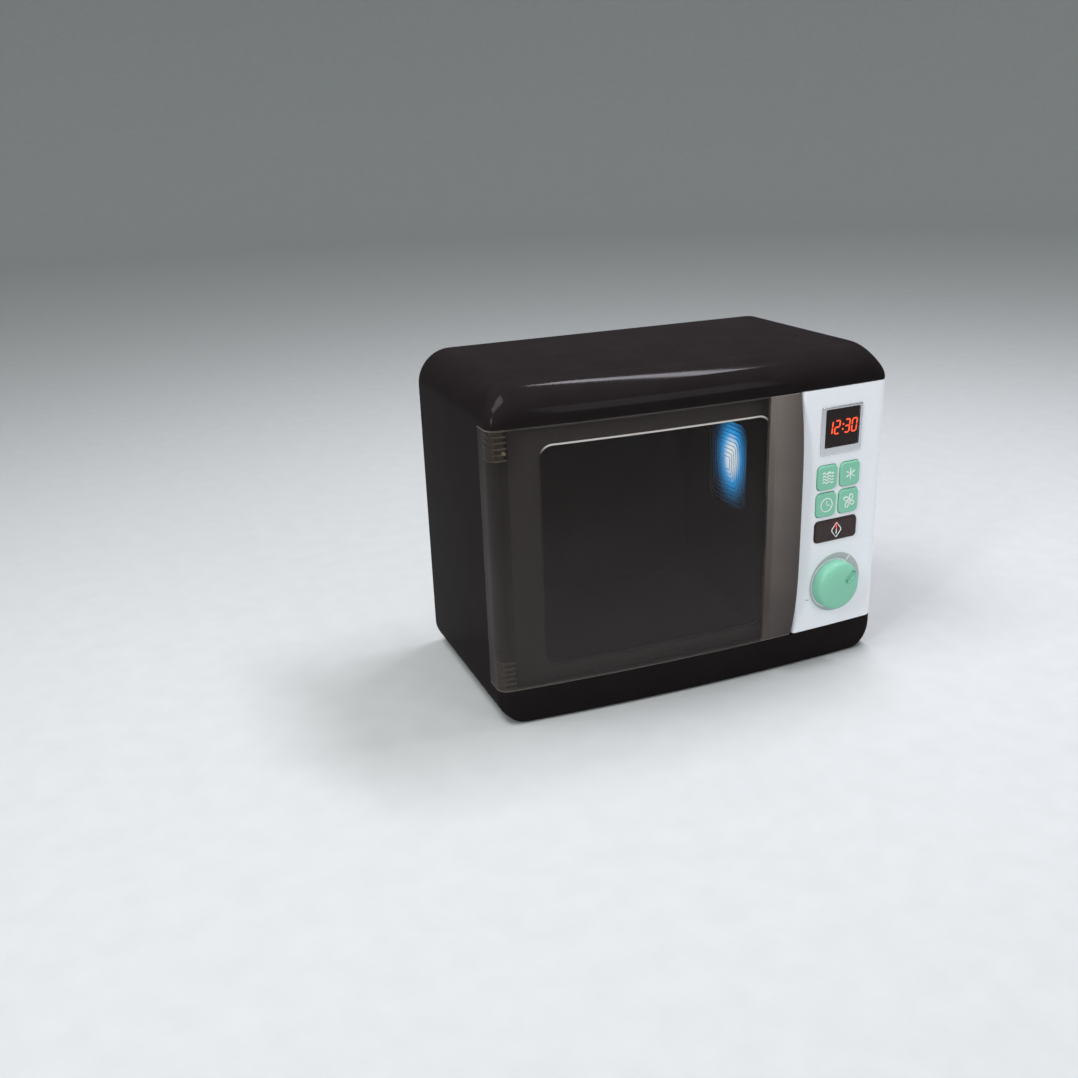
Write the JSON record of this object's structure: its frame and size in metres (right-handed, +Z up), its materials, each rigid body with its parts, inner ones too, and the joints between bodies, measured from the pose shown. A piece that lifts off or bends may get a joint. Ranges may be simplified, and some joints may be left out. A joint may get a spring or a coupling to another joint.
{
  "type": "toy microwave",
  "caption": "Toy microwave oven with a smoked side-hung door, lit display, press buttons, click timer knob and battery box.",
  "frame": {"origin": "middle of the object's box, on the face that it stands on", "axes": "+X to the right as seen from the front, +Y to the back, +Z up"},
  "size_m": [0.27, 0.1515, 0.2085],
  "materials": {
    "black_shell": "gloss black moulding",
    "dark_frame": "dark grey-brown frame",
    "oven_black": "matt black liner",
    "smoked_clear": "smoked see-through plastic",
    "panel_white": "cool white moulding",
    "mint": "mint green",
    "start_black": "near black",
    "silver": "silver trim",
    "window_dark": "dark window",
    "rubber_grey": "grey rubber",
    "board_green": "green board",
    "lens_clear": "clear ridged plastic",
    "white_plastic": "white inner moulding",
    "wire_red": "red insulation",
    "cell_wrap": "dark cell sleeve",
    "steel": "plated steel"
  },
  "bodies": {
    "case": {"back_cover": "black_shell", "battery_1": "cell_wrap", "battery_2": "cell_wrap", "battery_box": "black_shell", "battery_wire_1": "wire_red", "battery_wire_2": "wire_red", "board_screw_1": "steel", "board_screw_2": "steel", "board_screw_3": "steel", "board_screw_4": "steel", "chip": "start_black", "circuit_board": "board_green", "click_spring": "steel", "contact_1": "steel", "contact_2": "steel", "contact_bridge": "steel", "control_panel": "panel_white", "cover_screw_1": "steel", "cover_screw_2": "steel", "cover_screw_3": "steel", "cover_screw_4": "steel", "display_bezel": "silver", "display_module": "start_black", "display_window": "window_dark", "door_catch": "white_plastic", "frame_screw_1": "steel", "frame_screw_2": "steel", "frame_screw_3": "steel", "frame_screw_4": "steel", "front_frame": "dark_frame", "housing_shell": "black_shell", "keypad": "rubber_grey", "lamp_reflector": "white_plastic", "lamp_wire_1": "wire_red", "lamp_wire_2": "wire_red", "light_lens": "lens_clear", "oven_cavity": "oven_black", "oven_lamp": "lens_clear", "speaker": "start_black", "speaker_clamp": "white_plastic", "speaker_wire_1": "wire_red", "speaker_wire_2": "wire_red", "start_lamp": "lens_clear"},
    "door": {"door": "smoked_clear", "hinge_pin_lower": "steel", "hinge_pin_upper": "steel"},
    "knob": {"knob": "mint", "click_wheel": "white_plastic", "knob_screw": "steel"},
    "battery_door": {"battery_door": "black_shell", "battery_door_screw": "steel"},
    "button_wave": {"button_wave": "mint"},
    "button_snow": {"button_snow": "mint"},
    "button_clock": {"button_clock": "mint"},
    "button_fan": {"button_fan": "mint"},
    "button_start": {"button_start": "start_black"}
  },
  "joints": [
    {"name": "door_hinge", "type": "hinge", "parent": "case", "child": "door", "pos_m": [-0.13, -0.05225, 0.1039], "axis": [0, 0, -1], "range_deg": [0, 100]},
    {"name": "knob_turn", "type": "hinge", "parent": "case", "child": "knob", "pos_m": [0.0982, -0.06607, 0.0532], "axis": [0.0645, -0.9979, 0], "continuous": true},
    {"name": "button_wave_press", "type": "slide", "parent": "case", "child": "button_wave", "axis": [0, 1, 0], "range_m": [0, 0.0012], "stiffness_N_per_m": 600},
    {"name": "button_snow_press", "type": "slide", "parent": "case", "child": "button_snow", "axis": [0, 1, 0], "range_m": [0, 0.0012], "stiffness_N_per_m": 600},
    {"name": "button_clock_press", "type": "slide", "parent": "case", "child": "button_clock", "axis": [0, 1, 0], "range_m": [0, 0.0012], "stiffness_N_per_m": 600},
    {"name": "button_fan_press", "type": "slide", "parent": "case", "child": "button_fan", "axis": [0, 1, 0], "range_m": [0, 0.0012], "stiffness_N_per_m": 600},
    {"name": "button_start_press", "type": "slide", "parent": "case", "child": "button_start", "axis": [0, 1, 0], "range_m": [0, 0.0012], "stiffness_N_per_m": 600},
    {"name": "battery_door_lift", "type": "slide", "parent": "case", "child": "battery_door", "axis": [0, 1, 0], "range_m": [0, 0.025]}
  ]
}
